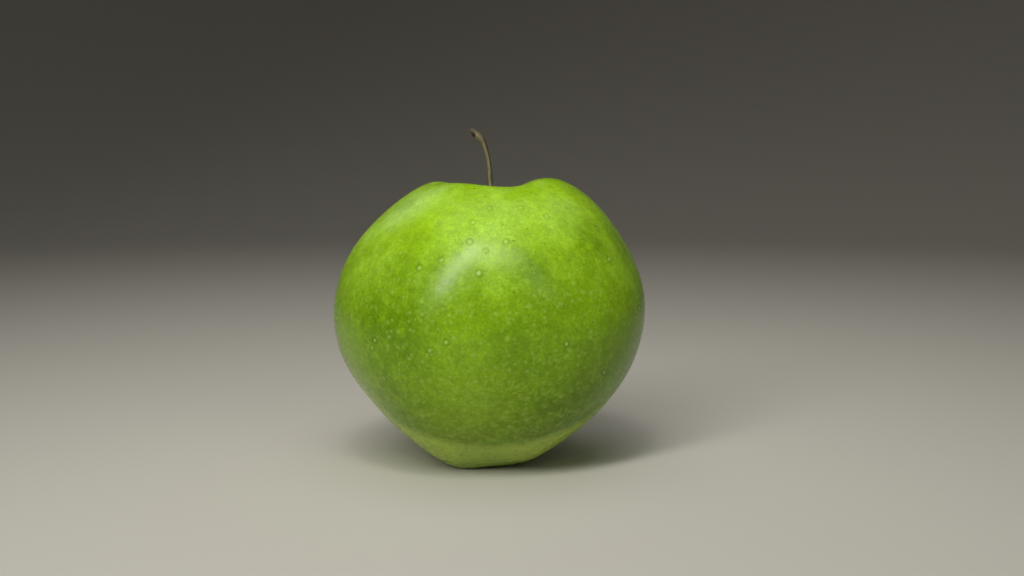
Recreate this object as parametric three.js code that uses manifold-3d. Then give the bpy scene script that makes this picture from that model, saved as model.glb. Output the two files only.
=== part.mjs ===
// A green apple: the fruit in one solid, the stem in its cavity and the dried calyx in its basin.
// Millimetres, +Z up, -Y to the front. The fruit stands on five small foot lobes at Z = 0.
import * as THREE from "three";
import { mergeVertices } from "three/addons/utils/BufferGeometryUtils.js";
import Module from "manifold-3d";

const wasm = await Module();
wasm.setup();

// Driving dimensions of the fruit's outline, half of it, from the axis outwards.
const shoulderHeight = 68.6; // resting plane to the top of the shoulder
const widestRadius = 38;
const widestHeight = 37.1;
const rimRadius = 14; // ring where the stem cavity begins
const footRadius = 9; // ring that the fruit stands on
const cavityDepth = 11.5;
const basinDepth = 6.5;
const socket = { radius: 1.5, depth: 3 }; // hole that the stem grows from
const calyxTube = { radius: 2.5, depth: 3 }; // hole that the calyx grows from
const lean = 2.7; // sideways shift of the top against the foot

// How far each arc of the outline keeps the direction it starts or ends in.
const ease = {
  tube: { out: 2.2, down: 2 },
  footInside: 3.2,
  footOutside: 5.4,
  belowWaist: 20.2,
  aboveWaist: 19.1,
  rimOutside: 6.6,
  rimInside: 7,
  socket: { out: 1.2, up: 7 },
};

// Five lobes round the fruit, and the fullness that differs from side to side.
// "up" raises a ring and "out" widens it; "facing" is in degrees from +X.
const lobeCount = 5;
const lobes = {
  rim: { up: 0.25, out: 0.3, facing: 26 },
  waist: { out: 0.4, facing: 26 },
  foot: { up: -0.4, out: 0.5, facing: 19 },
};
const lobeBias = { share: 0.3, facing: 150 }; // above the foot, lobes on this side are fuller
const rimTilt = { up: 1.5, facing: -65 }; // this side of the rim stands higher
const rimSaddle = 1; // and both sides stand higher than front and back
const furrow = { depth: 0.9, facing: -62, spread: 22 }; // a soft dip that runs over the rim
const waistOval = 0.4;
const shoulderOval = -0.7;
const flankFullness = 0.9;

// Stem: thick where it grows from the fruit, thin in the middle, knobbed at the end.
const stemRadii = [1.1, 1.02, 0.9, 0.8, 0.72, 0.67, 0.62, 0.58, 0.56, 0.58, 0.68, 0.8, 0.74];
const stemRoute = [
  [0.9, 0.0, -14.1],
  [0.9, 0.0, -10.0],
  [0.3, 0.1, -4.2],
  [0.05, 0.1, 0.0],
  [-0.15, 0.0, 3.6],
  [-0.95, -0.3, 8.1],
  [-2.2, -0.7, 11.1],
  [-4.3, -1.3, 13.0],
]; // its middle line, with Z counted from the shoulder's height
const stemEndSlant = 0.35; // slope of the face where it broke from the branch

// Calyx: five dried sepals on a plug, hanging in the basin with their tips curled outwards.
const sepal = { width: 3, thickness: 0.7, hollow: 0.35 };
const sepalLengths = [1, 0.88, 1.06, 0.82, 0.94]; // against the curve's own length
const plug = { radius: 2.2, tipRadius: 1.6, height: 4.2 };
const clearance = 0.3;

const roundSteps = 72;
const arcSteps = [10, 17, 11, 10]; // basin, flank, shoulder, cavity
const stemSides = 12;
const stemSteps = 36;

const colours = { skin: 0x86ae2c, bark: 0x615839, driedSepal: 0x6a5737 };

// Half outline as four arcs: out of the basin, up the flank, over the shoulder, down the cavity.
function outlineArcs() {
  const at = (x, y) => new THREE.Vector2(x, y);
  const foot = at(footRadius, 0);
  const waist = at(widestRadius, widestHeight);
  const rim = at(rimRadius, shoulderHeight);
  const floor = shoulderHeight - cavityDepth;
  const basin = [
    at(calyxTube.radius, basinDepth),
    at(calyxTube.radius + ease.tube.out, basinDepth - ease.tube.down),
    at(footRadius - ease.footInside, 0),
    foot,
  ];
  const flank = [
    foot,
    at(footRadius + ease.footOutside, 0),
    at(widestRadius, widestHeight - ease.belowWaist),
    waist,
  ];
  const shoulder = [
    waist,
    at(widestRadius, widestHeight + ease.aboveWaist),
    at(rimRadius + ease.rimOutside, shoulderHeight),
    rim,
  ];
  const cavity = [
    rim,
    at(rimRadius - ease.rimInside, shoulderHeight),
    at(socket.radius + ease.socket.out, floor + ease.socket.up),
    at(socket.radius, floor),
  ];
  return [basin, flank, shoulder, cavity].map((corners) => new THREE.CubicBezierCurve(...corners));
}

// Outline points with a station each: 0 to 4 along the arcs, with the two holes at its ends.
function outline() {
  const tubeEnd = basinDepth + calyxTube.depth;
  const socketEnd = shoulderHeight - cavityDepth - socket.depth;
  const points = [new THREE.Vector2(0, tubeEnd), new THREE.Vector2(calyxTube.radius, tubeEnd)];
  const stations = [0, 0];
  outlineArcs().forEach((arc, part) => {
    for (let step = part === 0 ? 0 : 1; step <= arcSteps[part]; step++) {
      points.push(arc.getPoint(step / arcSteps[part]));
      stations.push(part + step / arcSteps[part]);
    }
  });
  points.push(new THREE.Vector2(socket.radius, socketEnd), new THREE.Vector2(0, socketEnd));
  stations.push(4, 4);
  return { points, stations };
}

// 1 at its own station, fading to 0 at "reach" stations away.
function near(station, centre, reach = 1) {
  const away = Math.min(Math.abs(station - centre) / reach, 1);
  return Math.cos((Math.PI / 2) * away) ** 2;
}

// 1 along the middle of the furrow, fading to 0 on both sides.
function furrowShare(azimuth) {
  const turn = THREE.MathUtils.radToDeg(azimuth) - furrow.facing;
  const aside = THREE.MathUtils.euclideanModulo(turn + 180, 360) - 180;
  return Math.exp(-((aside / furrow.spread) ** 2));
}

// How far the surface stands out and up from the plain turned form.
function swell(station, azimuth) {
  const wave = (count, facing) => Math.cos(count * (azimuth - THREE.MathUtils.degToRad(facing)));
  const lobe = (ring) => wave(lobeCount, ring.facing);
  const fullness = 1 + lobeBias.share * wave(1, lobeBias.facing);
  const atRim = near(station, 3);
  const atWaist = near(station, 2);
  const atFoot = near(station, 1);
  const rimWaves = lobes.rim.up * fullness * lobe(lobes.rim) + rimSaddle * wave(2, 0);
  const rimSlope = rimTilt.up * wave(1, rimTilt.facing) - furrow.depth * furrowShare(azimuth);
  const up = atRim * (rimWaves + rimSlope) + atFoot * lobes.foot.up * lobe(lobes.foot);
  const out =
    atRim * lobes.rim.out * fullness * lobe(lobes.rim) +
    atWaist * (lobes.waist.out * fullness * lobe(lobes.waist) + waistOval * wave(2, 0)) +
    atFoot * lobes.foot.out * lobe(lobes.foot) +
    near(station, 2.5, 0.5) * shoulderOval * wave(2, 0) +
    near(station, 1.5, 0.5) * flankFullness * wave(1, 0);
  return { out, up };
}

// Keeps the positions alone, joins equal ones and drops the triangles that a pole folds flat.
function closed(geometry) {
  geometry.deleteAttribute("normal");
  geometry.deleteAttribute("uv");
  const merged = mergeVertices(geometry, 1e-5);
  const corners = merged.index.array;
  const kept = [];
  for (let i = 0; i < corners.length; i += 3) {
    const [a, b, c] = corners.slice(i, i + 3);
    if (a !== b && b !== c && c !== a) kept.push(a, b, c);
  }
  merged.setIndex(kept);
  return merged;
}

function toSolid(geometry) {
  const { position } = geometry.attributes;
  return new wasm.Manifold(
    new wasm.Mesh({
      numProp: 3,
      vertProperties: new Float32Array(position.array),
      triVerts: new Uint32Array(geometry.index.array),
    }),
  );
}

function toGeometry(solid) {
  const { vertProperties, triVerts } = solid.getMesh();
  const geometry = new THREE.BufferGeometry();
  geometry.setAttribute("position", new THREE.BufferAttribute(vertProperties, 3));
  geometry.setIndex(new THREE.BufferAttribute(triVerts, 1));
  return geometry;
}

// Moves every vertex of a geometry to where "place" puts it.
function reshape(geometry, place) {
  const { position } = geometry.attributes;
  const point = new THREE.Vector3();
  for (let i = 0; i < position.count; i++) {
    point.fromBufferAttribute(position, i);
    place(point, i);
    position.setXYZ(i, point.x, point.y, point.z);
  }
  return geometry;
}

function fruitGeometry() {
  const { points, stations } = outline();
  const turned = new THREE.LatheGeometry(points, roundSteps);
  turned.rotateX(Math.PI / 2);
  reshape(turned, (point, i) => {
    const turnedRadius = Math.hypot(point.x, point.y);
    const azimuth = Math.atan2(point.y, point.x);
    const { out, up } = swell(stations[i % stations.length], azimuth);
    const across = turnedRadius > socket.radius ? turnedRadius + out : turnedRadius;
    point.x = across * Math.cos(azimuth) + lean * (point.z / shoulderHeight - 0.5);
    point.y = across * Math.sin(azimuth);
    point.z = Math.max(point.z + up, 0);
  });
  return closed(turned);
}

function stemGeometry() {
  const corners = stemRoute.map(([x, y, z]) => new THREE.Vector3(x, y, shoulderHeight + z));
  const route = new THREE.CatmullRomCurve3(corners);
  const frames = route.computeFrenetFrames(stemSteps, false);
  const radiusAt = new THREE.SplineCurve(stemRadii.map((r, i) => new THREE.Vector2(r, i)));
  const profile = [new THREE.Vector2(0, 0)];
  for (let step = 0; step <= stemSteps; step++) {
    profile.push(new THREE.Vector2(radiusAt.getPoint(step / stemSteps).x, step));
  }
  profile.push(new THREE.Vector2(0, stemSteps));
  const straight = new THREE.LatheGeometry(profile, stemSides);
  reshape(straight, (point) => {
    const step = Math.round(point.y);
    const slant = step === stemSteps ? stemEndSlant * point.x : 0;
    const centre = route.getPointAt(step / stemSteps);
    centre.addScaledVector(frames.normals[step], -point.x);
    centre.addScaledVector(frames.binormals[step], point.z);
    centre.addScaledVector(frames.tangents[step], slant);
    point.copy(centre);
  });
  return closed(straight);
}

// One sepal in the half plane of +X, on a curve that drops from the plug and turns outwards.
function sepalSolid(stretch) {
  const top = basinDepth - 0.4;
  const curve = new THREE.CubicBezierCurve(
    new THREE.Vector2(1.5, top),
    new THREE.Vector2(2.6, top - 1.6 * stretch),
    new THREE.Vector2(2.4, top - 3.6 * stretch),
    new THREE.Vector2(4.6, top - 4.3 * stretch),
  );
  const blade = new THREE.BoxGeometry(2, 1, sepal.thickness, 4, 9, 1);
  reshape(blade, (point) => {
    const along = point.y + 0.5;
    const centre = curve.getPoint(along);
    const heading = curve.getTangent(along);
    const halfWidth = (sepal.width / 2) * (1 - along ** 1.6) + 0.12;
    const offset = point.z - sepal.hollow * point.x ** 2;
    point.set(centre.x - heading.y * offset, -halfWidth * point.x, centre.y + heading.x * offset);
  });
  return toSolid(closed(blade));
}

function calyxGeometry() {
  const core = new THREE.CylinderGeometry(plug.radius, plug.tipRadius, plug.height, 20);
  core.rotateX(Math.PI / 2);
  const top = basinDepth + calyxTube.depth - clearance;
  core.translate(0, 0, top - plug.height / 2);
  let solid = toSolid(closed(core));
  sepalLengths.forEach((stretch, i) => {
    const facing = ((i + 0.5) / sepalLengths.length) * 360;
    solid = solid.add(sepalSolid(stretch).rotate([0, 0, facing]));
  });
  const leanHere = lean * (basinDepth / shoulderHeight - 0.5);
  return toGeometry(solid.translate([leanHere, 0, 0]));
}

function piece(name, geometry, finish) {
  const mesh = new THREE.Mesh(geometry, new THREE.MeshStandardMaterial(finish));
  mesh.name = name;
  return mesh;
}

const apple = new THREE.Group();
apple.add(
  piece("fruit", fruitGeometry(), { color: colours.skin, roughness: 0.4, metalness: 0 }),
  piece("stem", stemGeometry(), { color: colours.bark, roughness: 0.8, metalness: 0 }),
  piece("calyx", calyxGeometry(), { color: colours.driedSepal, roughness: 0.9, metalness: 0 }),
);

// The model's origin is on the resting plane, under the middle of the fruit's width and depth.
const middle = new THREE.Box3().setFromObject(apple).getCenter(new THREE.Vector3());
apple.position.set(-middle.x, -middle.y, 0);

export default apple;
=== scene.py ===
import math
import random

import bmesh
import bpy
import numpy as np
from mathutils import Matrix, Vector


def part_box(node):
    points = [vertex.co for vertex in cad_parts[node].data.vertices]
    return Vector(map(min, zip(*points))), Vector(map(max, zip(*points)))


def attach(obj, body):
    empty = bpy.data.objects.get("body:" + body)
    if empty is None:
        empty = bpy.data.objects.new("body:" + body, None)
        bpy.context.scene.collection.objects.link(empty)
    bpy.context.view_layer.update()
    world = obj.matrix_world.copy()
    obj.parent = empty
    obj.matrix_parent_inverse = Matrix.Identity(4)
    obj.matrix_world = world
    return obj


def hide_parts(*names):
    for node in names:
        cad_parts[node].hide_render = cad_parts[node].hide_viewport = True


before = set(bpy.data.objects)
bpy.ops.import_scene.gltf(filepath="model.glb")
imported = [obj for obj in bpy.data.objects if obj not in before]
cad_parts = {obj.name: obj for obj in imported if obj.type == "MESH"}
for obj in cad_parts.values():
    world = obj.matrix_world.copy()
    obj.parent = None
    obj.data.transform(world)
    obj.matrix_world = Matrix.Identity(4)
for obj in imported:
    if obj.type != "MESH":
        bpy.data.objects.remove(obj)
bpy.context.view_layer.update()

# A green apple: fine skin, woody stalk and dried calyx, each in place of its plain solid.
# Sizes and places are in millimetres, and are turned to metres where they go into Blender.

mm = 0.001


def linear(hexColour):
    # sRGB hex colour to linear RGBA
    channels = [int(hexColour[i:i + 2], 16) / 255 for i in (1, 3, 5)]
    return [c / 12.92 if c <= 0.04045 else ((c + 0.055) / 1.055) ** 2.4 for c in channels] + [1.0]


def perMetre(size):
    # texture scale of a pattern that repeats every "size" millimetres
    return 1 / (size * mm)


def addNode(tree, kind, inputs, output=0, **settings):
    # adds one node with its settings, links or sets its inputs, and gives one of its outputs
    node = tree.nodes.new("ShaderNode" + kind)
    for name, value in settings.items():
        setattr(node, name, value)
    for name, value in inputs.items():
        if isinstance(value, bpy.types.NodeSocket):
            tree.links.new(value, node.inputs[name])
        else:
            node.inputs[name].default_value = value
    return node.outputs[output] if node.outputs else node


def newMaterial(name):
    material = bpy.data.materials.new(name)
    material.use_nodes = True
    material.node_tree.nodes.clear()
    return material, material.node_tree


def paintLayers(tree, ground, finish, layers):
    # lays colours of a finish over a ground: (colour, strength, masks), each mask a value with the
    # places where it begins and where it is full
    for colour, strength, masks in layers:
        share = strength
        for value, start, full in masks:
            mask = addNode(tree, "MapRange", {"Value": value, "From Min": start, "From Max": full},
                           interpolation_type="SMOOTHSTEP")
            share = addNode(tree, "Math", {0: mask, 1: share}, operation="MULTIPLY")
        over = linear(finish[colour])
        ground = addNode(tree, "Mix", {"Factor": share, 6: ground, 7: over}, 2, data_type="RGBA")
    return ground


def makePiece(name, points, faces, material, solid):
    # a smooth mesh that stands for one of the solids
    mesh = bpy.data.meshes.new(name)
    mesh.from_pydata((np.asarray(points) * mm).tolist(), [], faces)
    mesh.polygons.foreach_set("use_smooth", [True] * len(mesh.polygons))
    mesh.materials.append(material)
    mesh.update()
    piece = bpy.data.objects.new(name, mesh)
    bpy.context.scene.collection.objects.link(piece)
    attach(piece, "root")
    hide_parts(solid)
    print(f"{name}: {len(points)} points, {len(faces)} faces")
    return piece


def storeValue(piece, name, values):
    # a value at each vertex, which the material reads by its name
    layer = piece.data.attributes.new(name, "FLOAT", "POINT")
    layer.data.foreach_set("value", np.asarray(values, dtype=np.float32))


# form of the fruit: a half outline turned round an axis, then lobed, leaned and tilted; "up" raises
# a ring, "out" widens it, and "facing" is a bearing in degrees from +X
fruit = {
    "shoulderHeight": 68.6,
    "widestRadius": 38.0,
    "widestHeight": 37.1,
    "rimRadius": 14.0,
    "footRadius": 9.0,
    "cavityDepth": 11.5,
    "basinDepth": 6.5,
    "stalkHole": 1.12,  # the skin closes in on the stalk
    "calyxHole": 2.25,
    "holeDepth": 2.5,  # of the short walls in both
    "ease": {  # how far each arc of the outline keeps the direction it starts or ends in
        "calyxOut": 2.2,
        "calyxDown": 2,
        "footInside": 3.2,
        "footOutside": 5.4,
        "belowWaist": 20.2,
        "aboveWaist": 19.1,
        "rimOutside": 6.6,
        "rimInside": 7,
        "stalkOut": 1.2,
        "stalkUp": 7,
    },
    "lean": 2.7,  # sideways shift of the top against the foot
    "lobeCount": 5,
    "rimLobes": {"up": 0.25, "out": 0.3, "facing": 26},
    "waistLobes": {"out": 0.4, "facing": 26},
    "footLobes": {"up": -0.4, "out": 0.5, "facing": 19},
    "lobeBias": {"share": 0.3, "facing": 150},
    "rimTilt": {"up": 1.5, "facing": -65},
    "rimSaddle": 1.0,
    "furrow": {"depth": 0.9, "facing": -62, "spread": 22},
    "waistOval": 0.4,
    "shoulderOval": -0.7,
    "flankFullness": 0.9,
}


def outlineCorners():
    # four cubic arcs: basin, flank, shoulder and cavity, each from four (radius, height) corners
    top, foot, rim = fruit["shoulderHeight"], fruit["footRadius"], fruit["rimRadius"]
    wide, middle = fruit["widestRadius"], fruit["widestHeight"]
    floor, basin = top - fruit["cavityDepth"], fruit["basinDepth"]
    stalkHole, calyxHole, ease = fruit["stalkHole"], fruit["calyxHole"], fruit["ease"]
    pastCalyx = (calyxHole + ease["calyxOut"], basin - ease["calyxDown"])
    overStalk = (stalkHole + ease["stalkOut"], floor + ease["stalkUp"])
    return np.array([
        [(calyxHole, basin), pastCalyx, (foot - ease["footInside"], 0), (foot, 0)],
        [(foot, 0), (foot + ease["footOutside"], 0), (wide, middle - ease["belowWaist"]), (wide, middle)],
        [(wide, middle), (wide, middle + ease["aboveWaist"]), (rim + ease["rimOutside"], top), (rim, top)],
        [(rim, top), (rim - ease["rimInside"], top), overStalk, (stalkHole, floor)],
    ])


def outlineAt(station):
    # (radius, height) at stations: 0 is the calyx, 1 the foot, 2 the waist, 3 the rim and 4 the stalk
    arc = np.clip(station.astype(int), 0, 3)
    t = station - arc
    weights = np.stack([(1 - t) ** 3, 3 * (1 - t) ** 2 * t, 3 * (1 - t) * t ** 2, t ** 3], -1)
    return (outlineCorners()[arc] * weights[..., None]).sum(-2)


def near(station, centre, reach=1.0):
    # 1 at the centre, falling off smoothly to 0 at its reach
    away = np.minimum(np.abs(station - centre) / reach, 1)
    return np.cos(math.pi / 2 * away) ** 2


def plainSurface(station, azimuth):
    # points of the lobed form, before its fine relief
    def wave(count, facing):
        return np.cos(count * (azimuth - math.radians(facing)))

    def lobes(ring):
        return wave(fruit["lobeCount"], ring["facing"])

    rim, waist, foot = fruit["rimLobes"], fruit["waistLobes"], fruit["footLobes"]
    tilt, furrow, bias = fruit["rimTilt"], fruit["furrow"], fruit["lobeBias"]
    fullness = 1 + bias["share"] * wave(1, bias["facing"])
    aside = (np.degrees(azimuth) - furrow["facing"] + 180) % 360 - 180
    rimUp = rim["up"] * fullness * lobes(rim) + fruit["rimSaddle"] * wave(2, 0)
    rimUp = rimUp + tilt["up"] * wave(1, tilt["facing"])
    rimUp = rimUp - furrow["depth"] * np.exp(-(aside / furrow["spread"]) ** 2)
    up = near(station, 3) * rimUp + near(station, 1) * foot["up"] * lobes(foot)
    out = near(station, 3) * rim["out"] * fullness * lobes(rim)
    out = out + near(station, 2) * (waist["out"] * fullness * lobes(waist) + fruit["waistOval"] * wave(2, 0))
    out = out + near(station, 1) * foot["out"] * lobes(foot)
    out = out + near(station, 2.5, 0.5) * fruit["shoulderOval"] * wave(2, 0)
    out = out + near(station, 1.5, 0.5) * fruit["flankFullness"] * wave(1, 0)
    radius, height = np.moveaxis(outlineAt(station), -1, 0)
    x = (radius + out) * np.cos(azimuth) + fruit["lean"] * (height / fruit["shoulderHeight"] - 0.5)
    y = (radius + out) * np.sin(azimuth)
    return np.stack([x, y, height + up], -1)


def surfaceNormals(station, azimuth):
    # outward directions of the plain form, from a small step to each side
    step = 1e-3
    above, below = np.minimum(station + step, 4), np.maximum(station - step, 0)
    along = plainSurface(above, azimuth) - plainSurface(below, azimuth)
    around = plainSurface(station, azimuth + step) - plainSurface(station, azimuth - step)
    normals = np.cross(around, along)
    return normals / np.linalg.norm(normals, axis=-1, keepdims=True)


def placeOnSolids():
    # the step that brings the form's own axis to where the fruit's solid stands, from the reach of both
    station, azimuth = np.meshgrid(np.linspace(1, 3, 300), np.radians(np.arange(720) / 2))
    plain = plainSurface(station, azimuth).reshape(-1, 3)
    low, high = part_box("fruit")
    shift = np.array(low + high) / 2 / mm - (plain.min(axis=0) + plain.max(axis=0)) / 2
    return np.array([shift[0], shift[1], 0.0])


skinRelief = {
    "columns": 240,
    "rows": (26, 62, 52, 36),  # in the basin, flank, shoulder and cavity
    "seam": 90,  # bearing of the first column, at the back
    "seed": 11,
    "swells": {"count": 26, "height": 0.07, "lengths": (14, 34)},  # shortest and longest
    "inset": 0.2,  # keeps the swells inside the plain form
    "fullStations": {"shoulder": (2.85, 0.65), "lowFlank": (1.4, 0.45)},  # but not here: place, reach
    "settleHeight": 2,  # under it the relief fades out, so that the foot stands flat
    "basinFolds": {"height": 0.32, "station": 0.38, "reach": 0.38},
    "cavityRibs": {"height": 0.14, "station": 3.82, "reach": 0.3},
    "lenticels": {
        "height": 0.08,
        "radii": (0.30, 0.46),  # smallest and largest
        "dome": 0.8,  # this and the next two are in radii
        "core": 0.75,
        "groove": {"away": 1.7, "width": 0.5},
        "grooveDepth": 0.3,  # share of the height
        "cuts": 4,  # finer faces round each
        "cutReach": 3,  # in radii too
    },
    "strewn": {  # lenticels of the sides and the back
        "count": 62,
        "bearings": (-5, 190),
        "lowest": 1.25,  # station, and how far up from it they reach
        "upwards": 1.7,
        "sizes": (0.55, 1.0),
        "gap": 5.0,
        "seamGap": 5,  # degrees left free at each side of the seam
    },
}
# the clearest lenticels of the front: bearing in degrees, height, size; past 1 they only grow higher,
# and paler as a painted glint
frontLenticels = [
    (-99, 61, 0.7), (-99, 57, 1.0), (-92, 55, 0.75), (-94, 50, 1.0), (-84, 57, 0.8), (-92, 64, 0.7),
    (-75, 64, 0.7), (-63, 62, 0.7), (-117, 51, 1.0), (-128, 54, 0.7), (-154, 53, 0.85), (-109, 53, 0.65),
    (-36, 59, 0.8), (-38, 52, 1.3), (-22, 40, 1.5), (-26, 38, 1.1), (-42, 26, 1.4), (-62, 34, 1.2),
    (-104, 35, 1.2), (-110, 33, 0.7), (-113, 41, 0.7), (-133, 34, 1.4), (-135, 32, 1.0),
    (-132, 25, 0.9), (-166, 28, 1.0), (-166, 41, 1.2), (-152, 38, 0.6), (-178, 53, 1.4), (-7, 42, 1.3),
    (-164, 37, 1.1), (-171, 28, 1.3), (4, 42, 1.3), (-21, 41, 1.1),
]
# broad soft patches of the front, paler or deeper green: bearing, height, reach, strength
# the pale patches are partly paler peel and partly painted highlight and sheen
paleAndSheenPatches = [
    (-138, 64, 5, 0.8), (-150, 61, 5, 0.9), (-162, 56, 4, 0.5), (-48, 64, 5, 0.6), (-90, 60, 5, 0.6),
    (-60, 60, 4, 0.3), (-97, 20, 9, 0.25),
]
# the deep patches are partly deeper green peel and partly painted shade
deepAndShadePatches = [
    (-122, 49, 11, 0.6), (-74, 52, 7, 0.6), (-44, 57, 8, 0.65), (-22, 54, 8, 0.55), (-126, 36, 13, 0.95),
    (-52, 15, 14, 0.85), (-128, 20, 12, 0.65), (-106, 66, 5, 0.25), (-69, 46, 8, 0.5), (-71, 31, 12, 0.5),
    (-140, 51, 6, 0.4),
]

# where the flesh bulges or sinks a little from the plain form: bearing, height, reach, and how far
fullSpots = [(180, 49, 13, 0.65), (180, 21, 10, 0.3), (0, 18, 14, 0.3), (-90, 0.7, 4.5, 0.5)]
hollowSpots = [(-60, 0.3, 4.2, 0.9)]


def flankPoint(bearing, height):
    # the point of the flank or shoulder nearest to a height, at a bearing in degrees
    stations = np.linspace(1.05, 2.95, 400)
    flank = plainSurface(stations, np.full(stations.shape, math.radians(bearing)))
    return flank[np.abs(flank[:, 2] - height).argmin()]


def patchShare(points, patches):
    # strength of the strongest patch at each point; each fades out from its centre
    share = np.zeros(len(points))
    for bearing, height, reach, strength in patches:
        away = np.linalg.norm(points - flankPoint(bearing, height), axis=1)
        share = np.maximum(share, strength * np.exp(-(away / reach) ** 2))
    return share


def lenticelPlaces():
    # (centre, size) of each raised lenticel: the front's own, then strewn ones round the back
    places = [(flankPoint(bearing, height), size) for bearing, height, size in frontLenticels]
    draw, strewn = random.Random(skinRelief["seed"]), skinRelief["strewn"]
    while len(places) < len(frontLenticels) + strewn["count"]:
        bearing, rise, size = draw.uniform(*strewn["bearings"]), draw.random(), draw.uniform(*strewn["sizes"])
        station = strewn["lowest"] + strewn["upwards"] * rise ** 0.8
        centre = plainSurface(np.array([station]), np.array([math.radians(bearing)]))[0]
        clear = all(np.linalg.norm(centre - other) > strewn["gap"] for other, _ in places)
        if clear and abs(bearing - skinRelief["seam"]) > strewn["seamGap"]:
            places.append((centre, size))
    return places


def swells(points):
    # low swells in random directions, so that no highlight runs perfectly smooth
    draw, swell = random.Random(skinRelief["seed"]), skinRelief["swells"]
    height = np.zeros(len(points))
    shortest, longest = swell["lengths"]
    for _ in range(swell["count"]):
        direction = np.array([draw.gauss(0, 1) for _ in range(3)])
        direction /= np.linalg.norm(direction)
        length, phase = draw.uniform(shortest, longest), draw.uniform(0, 2 * math.pi)
        height += np.sin(points @ direction * (2 * math.pi / length) + phase) * length / longest
    return height * swell["height"] * 2 * math.sqrt(2 / swell["count"])


def puckers(station, azimuth):
    # uneven folds that run out of the calyx, and finer ribs that run out of the stalk
    folds = np.cos(10 * azimuth + 0.7 * np.sin(3 * azimuth))
    folds = folds + 0.6 * np.cos(23 * azimuth + 2 * np.sin(2 * azimuth))
    ribs = np.cos(13 * azimuth + np.sin(4 * azimuth))
    ribs = ribs + 0.7 * np.cos(31 * azimuth + 1.5 * np.sin(5 * azimuth))
    basin, cavity = skinRelief["basinFolds"], skinRelief["cavityRibs"]
    inBasin = near(station, basin["station"], basin["reach"]) * basin["height"] * folds
    inCavity = near(station, cavity["station"], cavity["reach"]) * cavity["height"] * ribs
    return (inBasin + inCavity) / 2


def lenticelRelief(points, places):
    # height, pale core and dark ring of the lenticels at each point
    height, core, ring = (np.zeros(len(points)) for _ in range(3))
    form = skinRelief["lenticels"]
    small, large = form["radii"]
    for centre, size in places:
        away = np.linalg.norm(points - centre, axis=1) / (small + (large - small) * min(size, 1))
        dome = size * np.exp(-(away / form["dome"]) ** 2)
        groove = size * np.exp(-((away - form["groove"]["away"]) / form["groove"]["width"]) ** 2)
        height += form["height"] * (dome - form["grooveDepth"] * groove)
        # a size past 1 makes the core paler still, as a painted glint
        core = np.maximum(core, size * np.exp(-(away / form["core"]) ** 4))
        ring = np.maximum(ring, groove)
    return height, core, ring


def skinGrid():
    # station and azimuth of each point of a plain grid, and its faces
    rows = np.concatenate([arc + np.arange(count) / count for arc, count in enumerate(skinRelief["rows"])])
    rows = np.append(rows, 4.0)
    columns = skinRelief["columns"]
    azimuths = math.radians(skinRelief["seam"]) + np.arange(columns) * 2 * math.pi / columns
    faces = []
    for row in range(len(rows) - 1):
        for column in range(columns):
            beside = (column + 1) % columns
            low, high = row * columns, (row + 1) * columns
            faces.append((low + column, low + beside, high + beside, high + column))
    return np.repeat(rows, columns), np.tile(azimuths, len(rows)), faces


def refineRoundLenticels(station, azimuth, faces, places):
    # cuts the faces round each lenticel finer, and gives the new stations, azimuths and faces
    form, grid = skinRelief["lenticels"], bmesh.new()
    stationLayer = grid.verts.layers.float.new("station")
    azimuthLayer = grid.verts.layers.float.new("azimuth")
    for point, s, a in zip(plainSurface(station, azimuth), station, azimuth):
        vertex = grid.verts.new(point)
        vertex[stationLayer] = s
        vertex[azimuthLayer] = a
    grid.verts.ensure_lookup_table()
    for corners in faces:
        grid.faces.new([grid.verts[i] for i in corners])
    grid.edges.index_update()
    middles = np.array([face.calc_center_median() for face in grid.faces])
    reach = form["radii"][1] * form["cutReach"]
    chosen = np.zeros(len(middles), dtype=bool)
    for centre, _ in places:
        chosen |= np.linalg.norm(middles - centre, axis=1) < reach
    edges = {edge for face, isChosen in zip(grid.faces, chosen) if isChosen for edge in face.edges}
    edges = sorted(edges, key=lambda edge: edge.index)
    bmesh.ops.subdivide_edges(grid, edges=edges, cuts=form["cuts"], use_grid_fill=True)
    grid.verts.index_update()
    station = np.array([vertex[stationLayer] for vertex in grid.verts])
    azimuth = np.array([vertex[azimuthLayer] for vertex in grid.verts])
    faces = [[vertex.index for vertex in face.verts] for face in grid.faces]
    grid.free()
    return station, azimuth, faces


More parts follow.
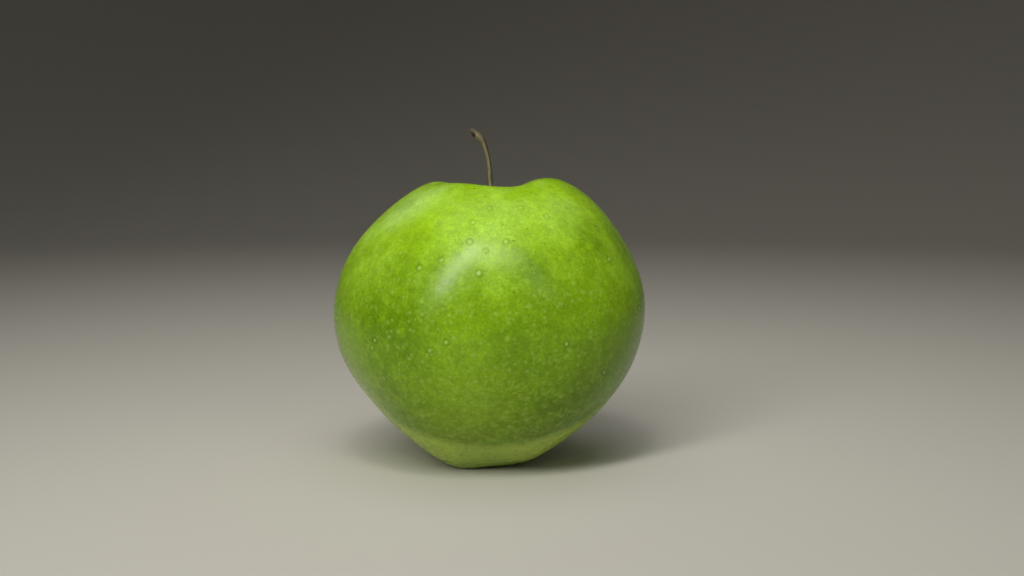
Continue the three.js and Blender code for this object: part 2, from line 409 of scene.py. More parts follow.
def makeSkin(material, shift):
    places = lenticelPlaces()
    station, azimuth, faces = skinGrid()
    columns, gridPoints = skinRelief["columns"], len(station)
    station, azimuth, faces = refineRoundLenticels(station, azimuth, faces, places)
    plain = plainSurface(station, azimuth)
    height, core, ring = lenticelRelief(plain, places)
    settled = np.clip(plain[:, 2] / skinRelief["settleHeight"], 0, 1)
    full = skinRelief["fullStations"]
    inset = 1 - near(station, *full["shoulder"]) - near(station, *full["lowFlank"])
    inset = skinRelief["inset"] * inset
    relief = height + (swells(plain) + puckers(station, azimuth) - inset) * settled
    relief = relief + patchShare(plain, fullSpots) - patchShare(plain, hollowSpots)
    points = plain + surfaceNormals(station, azimuth) * relief[:, None]
    points[:, 2] = np.maximum(points[:, 2], 0)
    # short walls and lids in the calyx and stalk holes make the skin one closed body
    calyxRing, stalkRing = np.arange(columns), np.arange(gridPoints - columns, gridPoints)
    for ringPoints, depth in ((calyxRing, fruit["holeDepth"]), (stalkRing, -fruit["holeDepth"])):
        start = len(points)
        points = np.vstack([points, points[ringPoints] + [0, 0, depth]])
        lid = list(range(start, start + columns))
        walls = [(lid[i - 1], lid[i], ringPoints[i], ringPoints[i - 1]) for i in range(columns)]
        if depth > 0:
            faces += walls + [lid[::-1]]
        else:
            faces += [wall[::-1] for wall in walls] + [lid]
    skin = makePiece("apple_skin", points + shift, faces, material, "fruit")
    storeValue(skin, "station", [*station, *[0] * columns, *[4] * columns])
    storeValue(skin, "lenticelCoreAndGlint", [*core, *[0] * columns * 2])
    storeValue(skin, "lenticelRing", [*ring, *[0] * columns * 2])
    storeValue(skin, "paleAndSheenPatch", [*patchShare(plain, paleAndSheenPatches), *[0] * columns * 2])
    storeValue(skin, "deepAndShadePatch", [*patchShare(plain, deepAndShadePatches), *[0] * columns * 2])


skinFinish = {
    "lowGreen": "#86aa12",
    "middleGreen": "#82ab16",
    "topGreen": "#9ac61c",
    "cloudGreenAndSheen": "#aad94c",
    "freshGreen": "#90c006",  # saturated streaks on the rim of the cavity
    # deeper green of the peel, also used as painted shade
    "deepGreenAndShade": "#5c8204",
    # painted shade: a darker green belt just above the foot
    "shadeBeltGreen": "#66820e",
    # the foot's own paler olive, lightened further as painted light from below
    "footOliveAndLight": "#abc64c",
    "footShade": "#6f8320",
    "palePore": "#acc95e",
    "paleCork": "#cfe391",
    "darkRing": "#5c7a10",
    "darkSpeck": "#42560e",
    "russet": "#8d7440",
    "roughness": (0.22, 0.31),
    "corkRoughness": 0.2,  # added on the lenticels
    "specular": 0.26,
    "ior": 1.45,
    "waxCoat": 0.10,
    "waxRoughness": 0.20,
    "waxIor": 1.44,
    # light that sinks into the flesh: its share, how far, and what of that for red, green and blue
    "flesh": {"share": 0.12, "reach": 3, "tint": (0.8, 1.0, 0.35)},
    "pitting": {"strength": 0.10, "depth": 0.2},
    "waver": 8,  # the most that edges of the broad colours wander
    # the olive foot's upper edge changes between two depths: its height and how much it frays
    "footDepths": (-18, 12),
    "footTop": (9.6, 17),
    "footFray": (0.12, 1.1),
    "footFull": 7.2,  # all olive below this
    "footClimb": 10.0,  # rise to both sides, per metre squared
}


def appleSkinMaterial():
    # Apple peel with its own thin wax over green cells: highlights are soft and wide, and light sinks a
    # few millimetres into the pale flesh, which softens the shading.
    material, tree = newMaterial("waxy apple skin")
    place = addNode(tree, "TexCoord", {}, "Object")
    side = addNode(tree, "SeparateXYZ", {0: place}, "X")
    depth = addNode(tree, "SeparateXYZ", {0: place}, "Y")
    height = addNode(tree, "SeparateXYZ", {0: place}, "Z")
    station = addNode(tree, "Attribute", {}, "Fac", attribute_name="station")
    core = addNode(tree, "Attribute", {}, "Fac", attribute_name="lenticelCoreAndGlint")
    ring = addNode(tree, "Attribute", {}, "Fac", attribute_name="lenticelRing")
    paleAndSheenPatch = addNode(tree, "Attribute", {}, "Fac", attribute_name="paleAndSheenPatch")
    deepAndShadePatch = addNode(tree, "Attribute", {}, "Fac", attribute_name="deepAndShadePatch")

    # clouds, each named for its size in millimetres; the finest are nearer 0.1 mm on a real peel
    cloud = {}
    for size in (24, 9, 4, 1.6, 0.5):
        cloud[size] = addNode(tree, "TexNoise", {"Vector": place, "Scale": perMetre(size), "Detail": 3.0,
                                                 "Roughness": 0.6})
    wander = skinFinish["waver"] * mm
    waver = addNode(tree, "MapRange", {"Value": cloud[9], "To Min": -wander, "To Max": wander})
    wavyHeight = addNode(tree, "Math", {0: height, 1: waver}, operation="ADD")
    wavySide = addNode(tree, "Math", {0: side, 1: waver}, operation="ADD")
    # the olive foot reaches higher at both sides than in front; its edge frays and softens to the back
    sideSquared = addNode(tree, "Math", {0: side, 1: side}, operation="MULTIPLY")
    climb = -skinFinish["footClimb"]
    footEdge = addNode(tree, "Math", {0: sideSquared, 1: climb, 2: height}, operation="MULTIPLY_ADD")
    frontDepth, backDepth = skinFinish["footDepths"]
    backwards = {"Value": depth, "From Min": frontDepth * mm, "From Max": backDepth * mm}
    frontFray, backFray = skinFinish["footFray"]
    fray = addNode(tree, "MapRange", {**backwards, "To Min": frontFray, "To Max": backFray})
    frontTop, backTop = skinFinish["footTop"]
    footTop = addNode(tree, "MapRange", {**backwards, "To Min": frontTop * mm, "To Max": backTop * mm})
    footEdge = addNode(tree, "Math", {0: waver, 1: fray, 2: footEdge}, operation="MULTIPLY_ADD")
    onTop = (wavyHeight, 40 * mm, 60 * mm)
    onFoot = (footEdge, footTop, skinFinish["footFull"] * mm)
    ground = paintLayers(tree, linear(skinFinish["lowGreen"]), skinFinish, [
        ("middleGreen", 1.0, [(wavyHeight, 14 * mm, 40 * mm)]),
        ("topGreen", 1.0, [onTop]),
        ("cloudGreenAndSheen", 0.4, [onTop, (cloud[9], 0.40, 0.66)]),
        # pale patches: partly paler peel, partly painted highlight and sheen
        ("cloudGreenAndSheen", 1.0, [(paleAndSheenPatch, 0.0, 1.0), (cloud[4], 0.10, 0.55)]),
        ("deepGreenAndShade", 0.3, [(cloud[24], 0.50, 0.68)]),
        # deep patches: partly deeper green peel, partly painted shade
        ("deepGreenAndShade", 1.0, [(deepAndShadePatch, 0.0, 1.0), (cloud[4], 1.2, 0.1)]),
        # deeper green low on the +X side: partly the peel's own tone, partly painted shade on the side turned
        # from the lamps
        ("deepGreenAndShade", 0.6, [(wavySide, 10 * mm, 36 * mm), (wavyHeight, 46 * mm, 24 * mm)]),
        ("freshGreen", 0.8, [(station, 2.6, 3.0), (cloud[9], 0.60, 0.44)]),
        # painted shade: a darker green belt just above the foot
        ("shadeBeltGreen", 0.55, [(wavyHeight, 20 * mm, 9.5 * mm)]),
        # the foot's own paler olive, lightened further as painted light from below
        ("footOliveAndLight", 1.0, [onFoot]),
        ("footShade", 0.7, [onFoot, (cloud[1.6], 0.5, 0.68)]),
    ])
    # mottle of the peel: each size of cloud makes it lighter and darker by that much
    mottle = 1.0
    for size, amount in ((4, 0.08), (1.6, 0.12), (0.5, 0.16)):
        shade = addNode(tree, "MapRange", {"Value": cloud[size], "From Min": 0.3, "From Max": 0.7,
                                           "To Min": 1 - amount, "To Max": 1 + amount})
        mottle = addNode(tree, "Math", {0: shade, 1: mottle}, operation="MULTIPLY")
    ground = addNode(tree, "VectorMath", {0: ground, "Scale": mottle}, operation="SCALE")

    # pores under the wax about 1 mm and 0.8 mm across, and dark specks of 0.5 mm, of chance strength
    spots = {}
    for size in (3, 2.4, 1.3):
        spot = addNode(tree, "TexVoronoi", {"Vector": place, "Scale": perMetre(size)}, "Distance")
        chance = addNode(tree, "SeparateColor", {0: spot.node.outputs["Color"]})
        spots[size] = (spot, chance)
    onFlank = (height, 64 * mm, 42 * mm)
    web = (cloud[1.6], 0.42, 0.60)
    ground = paintLayers(tree, ground, skinFinish, [
        ("palePore", 0.4, [(spots[2.4][0], 0.34, 0.06), (spots[2.4][1], 0.0, 0.9), onFlank]),
        ("palePore", 0.36, [(spots[1.3][0], 0.46, 0.12), (spots[1.3][1], 0.0, 0.8), onFlank]),
        ("palePore", 0.22, [(cloud[1.6], 0.48, 0.66), (wavyHeight, 34 * mm, 14 * mm)]),
        ("darkSpeck", 0.5, [(spots[3][0], 0.13, 0.05), (spots[3][1], 0.5, 0.95)]),
        ("darkSpeck", 0.5, [(spots[1.3][0], 0.36, 0.15), (spots[1.3][1], 0.5, 0.0), onFoot]),
        ("darkRing", 0.45, [(ring, 0.0, 1.0)]),
        # pale cork cores, paler still as a painted glint where a size passes 1
        ("paleCork", 0.85, [(core, 0.0, 1.9)]),
        ("russet", 0.8, [(station, 3.5, 3.85), web]),
        ("russet", 0.8, [(station, 0.35, 0.08), web]),
    ])

    smoothest, roughest = skinFinish["roughness"]
    roughness = addNode(tree, "MapRange", {"Value": cloud[4], "From Min": 0.3, "From Max": 0.7,
                                           "To Min": smoothest, "To Max": roughest})
    roughness = addNode(tree, "Math", {0: core, 1: skinFinish["corkRoughness"], 2: roughness},
                        operation="MULTIPLY_ADD")
    pitting, flesh = skinFinish["pitting"], skinFinish["flesh"]
    shader = addNode(tree, "BsdfPrincipled", {
        "Base Color": ground,
        "Roughness": roughness,
        "Normal": addNode(tree, "Bump", {"Height": cloud[0.5], "Strength": pitting["strength"],
                                         "Distance": pitting["depth"] * mm}),
        "IOR": skinFinish["ior"],
        "Specular IOR Level": skinFinish["specular"],
        "Subsurface Weight": flesh["share"],
        "Subsurface Radius": flesh["tint"],
        "Subsurface Scale": flesh["reach"] * mm,
        "Coat Weight": skinFinish["waxCoat"],
        "Coat Roughness": skinFinish["waxRoughness"],
        "Coat IOR": skinFinish["waxIor"],
    })
    addNode(tree, "OutputMaterial", {"Surface": shader})
    return material


stalk = {
    "route": [(0.9, 0.0, -14.1), (0.9, 0.0, -10.0), (0.3, 0.1, -4.2), (0.05, 0.1, 0.0), (-0.15, 0.0, 3.6),
              (-0.95, -0.3, 8.1), (-2.2, -0.7, 11.1), (-4.45, -1.35, 12.64)],  # heights from the shoulder's
    "radii": [1.1, 1.02, 0.9, 0.8, 0.72, 0.67, 0.62, 0.58, 0.55, 0.56, 0.66, 0.82, 0.84],  # root to tip
    "rings": 170,
    "sides": 40,
    "collar": {"height": 0.5, "along": 0.09, "spread": 0.035},  # where it leaves the flesh
    "ridge": 0.05,
    "wart": 0.06,
    "warts": 26,
    "wartHeights": (0.4, 1),  # shares of the highest
    "wartPlaces": (0.15, 0.97),  # shares of its length
    "wartSize": {"along": 0.008, "round": 0.28},  # share of its length, radians
    "endFrom": 0.86,  # share of its length where the slant begins
    "endSlant": (0.6, 1.1),  # towards the back and upwards
    "endBack": 0.45,  # how far all of it is drawn back
    "endRings": (0.86, 0.66, 0.42, 0.18),  # shares of the end's width
    "endHollow": 0.25,
    "seed": 5,
}


def smoothLine(corners, perSpan=24):
    # a centripetal Catmull-Rom line through the corners
    corners = np.array(corners, dtype=float)
    padded = np.vstack([2 * corners[0] - corners[1], corners, 2 * corners[-1] - corners[-2]])
    gaps = np.linalg.norm(np.diff(padded, axis=0), axis=1) ** 0.5
    t = np.linspace(0, 1, perSpan, endpoint=False)[:, None]
    spans = []
    for i in range(len(corners) - 1):
        a, b, c, d = padded[i:i + 4]
        before, middle, after = gaps[i:i + 3]
        leave = ((b - a) / before - (c - a) / (before + middle) + (c - b) / middle) * middle
        arrive = ((c - b) / middle - (d - b) / (middle + after) + (d - c) / after) * middle
        span = b * (2 * t ** 3 - 3 * t ** 2 + 1) + leave * (t ** 3 - 2 * t ** 2 + t)
        spans.append(span + c * (3 * t ** 2 - 2 * t ** 3) + arrive * (t ** 3 - t ** 2))
    return np.vstack(spans + [corners[-1:]])


def evenly(line, count):
    # points at equal distances along a line
    run = np.concatenate([[0], np.cumsum(np.linalg.norm(np.diff(line, axis=0), axis=1))])
    stops = np.linspace(0, run[-1], count)
    return np.stack([np.interp(stops, run, line[:, axis]) for axis in range(line.shape[1])], -1)


def framesAlong(line, firstSide):
    # heading and two sides at each point of a line, turned as little as possible on the way
    headings = np.gradient(line, axis=0)
    headings /= np.linalg.norm(headings, axis=1, keepdims=True)
    side = np.array(firstSide, dtype=float)
    sides = []
    for heading in headings:
        side = side - heading * (side @ heading)
        side = side / np.linalg.norm(side)
        sides.append(side)
    return headings, np.array(sides), np.cross(headings, sides)


def tubeFaces(rings, sides, start=0):
    # faces between rings of points, and a lid on the first and on the last ring
    faces = []
    for ring in range(rings - 1):
        for k in range(sides):
            low, high, beside = start + ring * sides, start + (ring + 1) * sides, (k + 1) % sides
            faces.append((low + k, low + beside, high + beside, high + k))
    last = start + (rings - 1) * sides
    return faces + [tuple(range(start + sides - 1, start - 1, -1)), tuple(range(last, last + sides))]


def makeStalk(material, shift):
    rings, sides = stalk["rings"], stalk["sides"]
    middle = evenly(smoothLine(stalk["route"]), rings) + [0, 0, fruit["shoulderHeight"]]
    headings, across, beside = framesAlong(middle, (1, 0, 0))
    steps = np.arange(len(stalk["radii"]))
    radius = evenly(smoothLine(np.stack([steps, stalk["radii"]], -1)), rings)[:, 1]
    u = np.linspace(0, 1, rings)[:, None]
    turn = np.linspace(0, 2 * math.pi, sides, endpoint=False)
    collar, wart = stalk["collar"], stalk["wartSize"]
    draw = random.Random(stalk["seed"])
    phase = [draw.uniform(0, 2 * math.pi) for _ in range(6)]
    # bark ridges run along it and wander round it, with soft knots and small warts on them
    ridges = np.cos(5 * turn + 2.2 * u + phase[0]) + 0.6 * np.cos(9 * turn - 3 * u + phase[1])
    ridges = ridges + 0.5 * np.cos(14 * turn + 5 * np.sin(4 * u) + phase[2])
    knots = np.sin(31 * u + 2 * np.sin(turn + phase[3])) * np.sin(13 * u + phase[4])
    knots = knots * np.cos(2 * turn + phase[5])
    radius = radius[:, None] + stalk["ridge"] / 2 * ridges + stalk["wart"] / 2 * knots
    radius = radius + collar["height"] * np.exp(-((u - collar["along"]) / collar["spread"]) ** 2)
    for _ in range(stalk["warts"]):
        wartAlong, wartTurn = draw.uniform(*stalk["wartPlaces"]), draw.uniform(0, 2 * math.pi)
        aside = np.abs((turn - wartTurn + math.pi) % (2 * math.pi) - math.pi)
        bulge = np.exp(-((u - wartAlong) / wart["along"]) ** 2 - (aside / wart["round"]) ** 2)
        radius = radius + stalk["wart"] * draw.uniform(*stalk["wartHeights"]) * bulge
    spokes = across[:, None] * np.cos(turn)[:, None] + beside[:, None] * np.sin(turn)[:, None]
    spokes = spokes * radius[..., None]
    # its end broke off on a slant: its back and its upper side reach further
    reach = spokes[..., 1:] @ stalk["endSlant"] - stalk["endBack"]
    reach = reach * np.clip((u - stalk["endFrom"]) / (1 - stalk["endFrom"]), 0, 1) ** 2
    points = middle[:, None] + spokes + headings[:, None] * reach[..., None]
    endRing = points[-1]
    endMiddle = endRing.mean(axis=0)
    points = [points.reshape(-1, 3)]
    for share in stalk["endRings"]:
        sunk = stalk["endHollow"] * (1 - share ** 2) * (1 + 0.3 * np.cos(3 * turn + 1))
        points.append(endMiddle + (endRing - endMiddle) * share - headings[-1] * sunk[:, None])
    endRings = len(stalk["endRings"])
    faces = tubeFaces(rings + endRings, sides)
    piece = makePiece("woody_stalk", np.vstack(points) + shift, faces, material, "stem")
    along = np.append(np.repeat(u, sides), np.ones(endRings * sides))
    storeValue(piece, "along", along)
    # the break is dark, with a paler lip along its upper side
    dark = np.clip(0.9 - 1.5 * spokes[-1, :, 2] / stalk["radii"][-1], 0, 1)
    storeValue(piece, "broken", [*[0] * rings * sides, *np.tile(dark, endRings)])
    storeValue(piece, "across", np.cos(np.tile(turn, rings + endRings)))
    storeValue(piece, "beside", np.sin(np.tile(turn, rings + endRings)))


stalkFinish = {
    "bark": "#6c6044",
    "paleBarkAndLight": "#9c8e72",
    "darkBarkAndShade": "#40361f",
    "greenBark": "#6f7a35",
    "brokenWood": "#291a08",
    "roughness": 0.62,
    "ior": 1.5,
    "fibres": (2.4, 2.4, 9.0),  # to a unit across and beside the stalk, and to its length
    "grain": {"strength": 0.6, "depth": 0.1},
}


def stalkBarkMaterial():
    # Dried twig bark: dull and fibrous, streaked along its length, dark where it broke from the twig.
    material, tree = newMaterial("dry stalk bark")
    place = addNode(tree, "TexCoord", {}, "Object")
    along = addNode(tree, "Attribute", {}, "Fac", attribute_name="along")
    across = addNode(tree, "Attribute", {}, "Fac", attribute_name="across")
    beside = addNode(tree, "Attribute", {}, "Fac", attribute_name="beside")
    broken = addNode(tree, "Attribute", {}, "Fac", attribute_name="broken")
    # fibres about 0.3 mm wide and 3 mm long, laid out round the stalk and along it
    unrolled = addNode(tree, "CombineXYZ", {"X": across, "Y": beside, "Z": along})
    unrolled = addNode(tree, "VectorMath", {0: unrolled, 1: stalkFinish["fibres"]}, operation="MULTIPLY")
    fibres = addNode(tree, "TexNoise", {"Vector": unrolled, "Scale": 1.0, "Detail": 4.0, "Roughness": 0.7})
    flecks = addNode(tree, "TexNoise", {"Vector": place, "Scale": perMetre(0.6), "Detail": 3.0})
    bark = paintLayers(tree, linear(stalkFinish["darkBarkAndShade"]), stalkFinish, [
        ("bark", 1.0, [(fibres, 0.38, 0.62)]),
        ("paleBarkAndLight", 1.0, [(fibres, 0.56, 0.72)]),
        ("paleBarkAndLight", 0.5, [(flecks, 0.60, 0.70)]),
        # painted light and shade: a paler strip down one side, and darker bark down both edges, most on the
        # +X side
        ("paleBarkAndLight", 0.5, [(beside, -0.6, -0.97), (fibres, 0.3, 0.5)]),
        ("darkBarkAndShade", 0.7, [(across, 0.25, 0.8)]),
        ("darkBarkAndShade", 0.4, [(across, -0.6, -0.95)]),
        ("greenBark", 0.7, [(along, 0.34, 0.12)]),
        ("paleBarkAndLight", 0.35, [(along, 0.86, 0.95)]),
        ("brokenWood", 1.0, [(broken, 0.0, 1.0)]),
    ])
    relief = addNode(tree, "Math", {0: flecks, 1: 0.5, 2: fibres}, operation="MULTIPLY_ADD")
    grain = stalkFinish["grain"]
    shader = addNode(tree, "BsdfPrincipled", {
        "Base Color": bark,
        "Roughness": stalkFinish["roughness"],
        "IOR": stalkFinish["ior"],
        "Normal": addNode(tree, "Bump", {"Height": relief, "Strength": grain["strength"],
                                         "Distance": grain["depth"] * mm}),
    })
    addNode(tree, "OutputMaterial", {"Surface": shader})
    return material


# calyx: five dried sepals, withered stamens and fine down, hanging in the basin
calyx = {
    "sepalRoute": [(1.5, 0), (2.6, -1.6), (2.4, -3.6), (4.6, -4.3)],  # out and up, corners of a cubic arc
    "sepalLengths": [1.0, 0.88, 1.06, 0.82, 0.94],  # against the route's own
    "sepalRoot": 0.4,  # how far under the basin's top it is rooted
    "sepalWidth": 3.0,
    "sepalThickness": 0.3,
    "thinning": (0.6, 0.5),  # shares lost at the tip and at the sides
    "hollow": 0.35,
    "crumple": 0.16,
    "midrib": 0.12,
    "across": 12,  # faces
    "along": 26,
    "stamens": 17,
    "stamenLength": (2.2, 3.4),
    "stamenReach": (0.2, 1.25),  # root, from the middle of the plug
    "stamenSplay": (-0.16, 0.8),
    "stamenSway": 0.3,
    "stamenRadius": 0.11,
    "stamenTaper": (1.2, 1, 1, 1, 0.9, 0.9, 1.9, 2.1, 0.9),  # with a head at the tip
    "plugRadius": 2.1,
    "hairsPerSepal": 124,
    "hairLength": (0.35, 0.9),
    "hairRadius": 0.028,
    "hairTaper": (1, 1, 0.8, 0.5, 0.15),
    "hairTousle": 0.45,
    "hairCurl": 0.12,
    "hairSag": 0.15,
    "seed": 23,
}


def sepalPoint(stretch, facing, phases, sideways, along, lift):
    # a point of one sepal: sideways from -1 to 1, along from root 0 to tip 1, lift off its middle face
    top = fruit["basinDepth"] - calyx["sepalRoot"]
    corners = np.array([(out, up * stretch) for out, up in calyx["sepalRoute"]])

    def bend(t):
        t = np.asarray(t)[..., None]
        start = (1 - t) ** 3 * corners[0] + 3 * (1 - t) ** 2 * t * corners[1]
        return start + 3 * (1 - t) * t ** 2 * corners[2] + t ** 3 * corners[3]

    centre = bend(along)
    ahead = bend(along + 0.01) - bend(along - 0.01)
    ahead = ahead / np.linalg.norm(ahead, axis=-1, keepdims=True)
    ragged = 1 + 0.07 * np.sin(23 * along + phases[0]) + 0.05 * np.sin(41 * along + phases[1])
    halfWidth = (calyx["sepalWidth"] / 2 * (1 - along ** 1.6) + 0.1) * ragged
    crumple = np.sin(9 * along + 3 * sideways + phases[2]) * np.sin(4 * sideways + 7 * along + phases[3])
    off = lift - calyx["hollow"] * sideways ** 2 + calyx["crumple"] * crumple
    off = off + calyx["midrib"] * np.exp(-(sideways / 0.14) ** 2)
    outward = centre[..., 0] - ahead[..., 1] * off
    height = top + centre[..., 1] + ahead[..., 0] * off
    beside = -halfWidth * sideways
    x = outward * math.cos(facing) - beside * math.sin(facing)
    y = outward * math.sin(facing) + beside * math.cos(facing)
    return np.stack([x, y, height], -1)


def sheetFaces(rows, columns, start):
    # a closed sheet: an outer grid of points, an inner one after it, and a wall round the edge
    back = start + rows * columns
    faces = []
    for row in range(rows - 1):
        for column in range(columns - 1):
            corner = row * columns + column
            quad = [corner, corner + 1, corner + columns + 1, corner + columns]
            faces.append([start + i for i in quad])
            faces.append([back + i for i in reversed(quad)])
    edge = [row * columns for row in range(rows)]
    edge += [(rows - 1) * columns + column for column in range(1, columns)]
    edge += [row * columns + columns - 1 for row in range(rows - 2, -1, -1)]
    edge += list(range(columns - 2, 0, -1))
    for here, after in zip(edge, edge[1:] + edge[:1]):
        faces.append([start + here, start + after, back + after, back + here])
    return faces


def addSpike(points, faces, line, radii, sides):
    # a closed thin rod along a line, with a radius for each of its points
    anySide = (0.31, 0.52, 0.79)  # none of the rods runs quite this way
    _, across, beside = framesAlong(line, anySide)
    turn = np.linspace(0, 2 * math.pi, sides, endpoint=False)
    faces.extend(tubeFaces(len(line), sides, len(points)))
    for centre, a, b, radius in zip(line, across, beside, radii):
        points.extend(centre + radius * (np.outer(np.cos(turn), a) + np.outer(np.sin(turn), b)))


def makeCalyx(sepalMaterial, stamenMaterial, shift):
    draw = random.Random(calyx["seed"])
    basin = fruit["basinDepth"]
    middle = shift + [fruit["lean"] * (basin / fruit["shoulderHeight"] - 0.5), 0, 0]
    points, faces, hairRoots = [], [], []
    tipThinning, sideThinning = calyx["thinning"]
    widthSteps = np.linspace(-1, 1, calyx["across"] + 1)
    sideways, along = np.meshgrid(widthSteps, np.linspace(0, 1, calyx["along"] + 1))
    for i, stretch in enumerate(calyx["sepalLengths"]):
        facing = math.radians((i + 0.5) * 360 / len(calyx["sepalLengths"]))
        phases = [draw.uniform(0, 2 * math.pi) for _ in range(4)]
        half = calyx["sepalThickness"] / 2 * (1 - tipThinning * along) * (1 - sideThinning * sideways ** 2)
        faces += sheetFaces(*along.shape, len(points))
        for side in (half, -half):
            points.extend(sepalPoint(stretch, facing, phases, sideways, along, side).reshape(-1, 3))
        for _ in range(calyx["hairsPerSepal"]):
            where = draw.uniform(-1, 1), draw.uniform(0.05, 1)
            root = sepalPoint(stretch, facing, phases, *where, 0.0)
            outward = sepalPoint(stretch, facing, phases, *where, draw.choice((0.1, 0.1, -0.1))) - root
            hairRoots.append((root, outward / np.linalg.norm(outward)))
    makePiece("dried_sepals", np.array(points) + middle, faces, sepalMaterial, "calyx")

    # withered stamens stand in the middle, on a plug that closes the flower's tube
    points, faces = [], []
    plug = calyx["plugRadius"]
    plugLine = np.array([(0, 0, basin + fruit["holeDepth"] - 0.3), (0, 0, basin - 0.2), (0, 0, basin - 0.9)])
    addSpike(points, faces, plugLine, [plug, plug, plug * 0.6], 28)
    stamenRadii = [calyx["stamenRadius"] * share for share in calyx["stamenTaper"]]
    t = np.linspace(0, 1, len(stamenRadii))[:, None]
    most = calyx["stamenSway"]
    for _ in range(calyx["stamens"]):
        bearing, reach = draw.uniform(0, 2 * math.pi), draw.uniform(*calyx["stamenReach"])
        splay = draw.uniform(*calyx["stamenSplay"])
        outward = np.array([math.cos(bearing), math.sin(bearing), 0])
        sway = np.array([draw.uniform(-most, most), draw.uniform(-most, most), 0])
        line = outward * reach + [0, 0, basin - 0.3] - t * [0, 0, draw.uniform(*calyx["stamenLength"])]
        addSpike(points, faces, line + t ** 2 * outward * splay + np.sin(t * 3) * sway, stamenRadii, 7)
    makePiece("withered_stamens", np.array(points) + middle, faces, stamenMaterial, "calyx")

    # down: short soft hairs on the sepals
    points, faces = [], []
    hairRadii = [calyx["hairRadius"] * share for share in calyx["hairTaper"]]
    t = np.linspace(0, 1, len(hairRadii))[:, None]
    for root, outward in hairRoots:
        lean = outward + np.array([draw.gauss(0, calyx["hairTousle"]) for _ in range(3)])
        lean *= draw.uniform(*calyx["hairLength"]) / np.linalg.norm(lean)
        curl = [draw.gauss(0, calyx["hairCurl"]) for _ in range(2)]
        curl = np.array([*curl, -calyx["hairSag"]])
        addSpike(points, faces, root + lean * t + curl * t ** 2, hairRadii, 4)
    makePiece("sepal_down", np.array(points) + middle, faces, stamenMaterial, "calyx")


crinkles = {"roughness": 0.8, "strength": 0.5, "depth": 0.2}
sepalFinish = {"dark": "#3d3020", "middle": "#7a6643", "pale": "#b0a07c", "patch": 1.6, **crinkles}
stamenFinish = {"dark": "#33261a", "middle": "#4a3826", "pale": "#b3a27c", "patch": 0.9, **crinkles}


def driedFlowerMaterial(name, finish):
    # Dried flower parts: papery and quite dull, brown with paler worn patches.
    material, tree = newMaterial(name)
    place = addNode(tree, "TexCoord", {}, "Object")
    patches = addNode(tree, "TexNoise", {"Vector": place, "Scale": perMetre(finish["patch"]), "Detail": 4.0})
    colour = paintLayers(tree, linear(finish["dark"]), finish, [
        ("middle", 1.0, [(patches, 0.36, 0.52)]),
        ("pale", 1.0, [(patches, 0.54, 0.70)]),
    ])
    shader = addNode(tree, "BsdfPrincipled", {
        "Base Color": colour,
        "Roughness": finish["roughness"],
        "Normal": addNode(tree, "Bump", {"Height": patches, "Strength": finish["strength"],
                                         "Distance": finish["depth"] * mm}),
    })
    addNode(tree, "OutputMaterial", {"Surface": shader})
    return material


# a paper floor that curves up all round, soft lamps over it and pale air between
studio = {
    "floorRadius": 750,
    "coveRadius": 450,
    "wallHeight": 1250,
    "floorRings": (0.05, 0.15, 0.4, 0.7, 1.0),  # shares of its radius
    "coveRings": 12,
    "sides": 96,
    "paper": "#cac7be",
    "paperRoughness": 0.9,
    "tooth": {"size": 4, "strength": 0.04, "depth": 0.3},
    "air": "#ece9e4",
    "airStrength": 0.08,
}
# each lamp is a soft box between two ends, given as bearing and height angle from the fruit in degrees
lamps = {
    "overhead": {"ends": ((180, 62), (0, 62)), "width": 900, "distance": 1070, "spread": 110,
                 "watts": 0.87, "colour": "#fffdf8"},
    "lowStrip": {"ends": ((-126, 20), (-111, 44)), "width": 100, "distance": 730, "spread": 70,
                 "watts": 0.31, "colour": "#fffdf8"},
    "highStrip": {"ends": ((-112, 42), (-90, 57)), "width": 100, "distance": 730, "spread": 70,
                  "watts": 0.20, "colour": "#fffdf8"},
    "leftFill": {"ends": ((-138, 4), (-124, 24)), "width": 200, "distance": 730, "spread": 70,
                 "watts": 0.03, "colour": "#f4f8ff"},
    "rightStrip": {"ends": ((-106, 61), (-72, 47)), "width": 100, "distance": 730, "spread": 70,
                   "watts": 0.12, "colour": "#fffdf8"},
    "rightFill": {"ends": ((-74, 48), (-46, 10)), "width": 140, "distance": 730, "spread": 70,
                  "watts": 0.06, "colour": "#f4f8ff"},
    "backFill": {"ends": ((108, 24), (136, 42)), "width": 260, "distance": 730, "spread": 70,
                 "watts": 0.02, "colour": "#fffdf8"},
}
# where the camera looks and from how far, its height angle in degrees, and its lens
view = {"aim": (5.54, -0.31, 43.03), "distance": 320.0, "elevation": 6.3, "lens": 45.56, "sensor": 36.0}


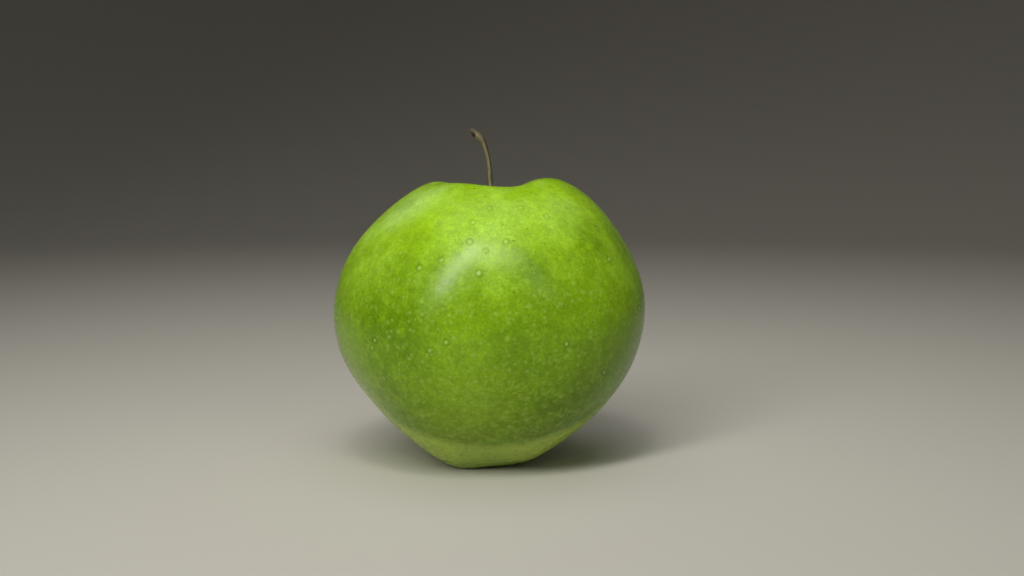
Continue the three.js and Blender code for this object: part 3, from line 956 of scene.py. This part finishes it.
def makeStudio():
    # Matt backdrop paper: pale, quite dull, with a faint tooth.
    paper, tree = newMaterial("pale backdrop paper")
    place = addNode(tree, "TexCoord", {}, "Object")
    tooth = studio["tooth"]
    felt = addNode(tree, "TexNoise", {"Vector": place, "Scale": perMetre(tooth["size"]), "Detail": 5.0})
    shader = addNode(tree, "BsdfPrincipled", {
        "Base Color": linear(studio["paper"]),
        "Roughness": studio["paperRoughness"],
        "Normal": addNode(tree, "Bump", {"Height": felt, "Strength": tooth["strength"],
                                         "Distance": tooth["depth"] * mm}),
    })
    addNode(tree, "OutputMaterial", {"Surface": shader})
    floor, cove, sides = studio["floorRadius"], studio["coveRadius"], studio["sides"]
    sweep = [(floor * share, 0.0) for share in studio["floorRings"]]
    coveRings = studio["coveRings"]
    for angle in np.radians(np.linspace(90 / coveRings, 90, coveRings)):
        sweep.append((floor + cove * math.sin(angle), cove * (1 - math.cos(angle))))
    sweep.append((floor + cove, studio["wallHeight"]))
    turn = np.linspace(0, 2 * math.pi, sides, endpoint=False)
    points = [(r * math.cos(a) * mm, r * math.sin(a) * mm, z * mm) for r, z in sweep for a in turn]
    faces = [face[::-1] for face in tubeFaces(len(sweep), sides)[:-1]]  # turned inwards, open at the top
    mesh = bpy.data.meshes.new("studio_floor")
    mesh.from_pydata(points, [], faces)
    mesh.polygons.foreach_set("use_smooth", [True] * len(mesh.polygons))
    mesh.materials.append(paper)
    backdrop = bpy.data.objects.new("studio_floor", mesh)
    bpy.context.scene.collection.objects.link(backdrop)
    world = bpy.data.worlds.new("studio air")
    world.use_nodes = True
    world.node_tree.nodes["Background"].inputs["Color"].default_value = linear(studio["air"])
    world.node_tree.nodes["Background"].inputs["Strength"].default_value = studio["airStrength"]
    bpy.context.scene.world = world


def direction(bearing, rise):
    # a unit vector from the fruit towards a bearing and height angle in degrees
    bearing, rise = math.radians(bearing), math.radians(rise)
    return Vector((math.cos(bearing) * math.cos(rise), math.sin(bearing) * math.cos(rise), math.sin(rise)))


def makeLamps():
    middle = Vector((0, 0, fruit["widestHeight"]))
    for name, setting in lamps.items():
        start, end = (direction(*place) * setting["distance"] for place in setting["ends"])
        light = bpy.data.lights.new(name, "AREA")
        light.shape = "RECTANGLE"
        light.size = (end - start).length * mm
        light.size_y = setting["width"] * mm
        light.spread = math.radians(setting["spread"])
        light.energy = setting["watts"]
        light.color = linear(setting["colour"])[:3]
        away, along = (start + end).normalized(), (end - start).normalized()
        lamp = bpy.data.objects.new(name, light)
        lamp.matrix_world = Matrix((along, away.cross(along), away)).transposed().to_4x4()
        lamp.location = (middle + (start + end) / 2) * mm
        lamp.visible_camera = False
        bpy.context.scene.collection.objects.link(lamp)


def makeCamera():
    camera = bpy.data.cameras.new("camera")
    camera.lens = view["lens"]
    camera.sensor_width = view["sensor"]
    camera.clip_start = 10 * mm
    holder = bpy.data.objects.new("camera", camera)
    back = direction(-90, view["elevation"])
    holder.location = (Vector(view["aim"]) + back * view["distance"]) * mm
    holder.rotation_euler = back.to_track_quat("Z", "Y").to_euler()
    bpy.context.scene.collection.objects.link(holder)
    bpy.context.scene.camera = holder


fruitShift = placeOnSolids()
print("the form stands on the solids, shifted by", fruitShift.round(3))
makeSkin(appleSkinMaterial(), fruitShift)
makeStalk(stalkBarkMaterial(), fruitShift)
sepalMaterial = driedFlowerMaterial("dried sepal", sepalFinish)
makeCalyx(sepalMaterial, driedFlowerMaterial("withered stamen", stamenFinish), fruitShift)
print("the apple is made")
makeStudio()
makeLamps()
makeCamera()
bpy.context.scene.view_settings.view_transform = "Standard"
print("the studio, lamps and camera are set")
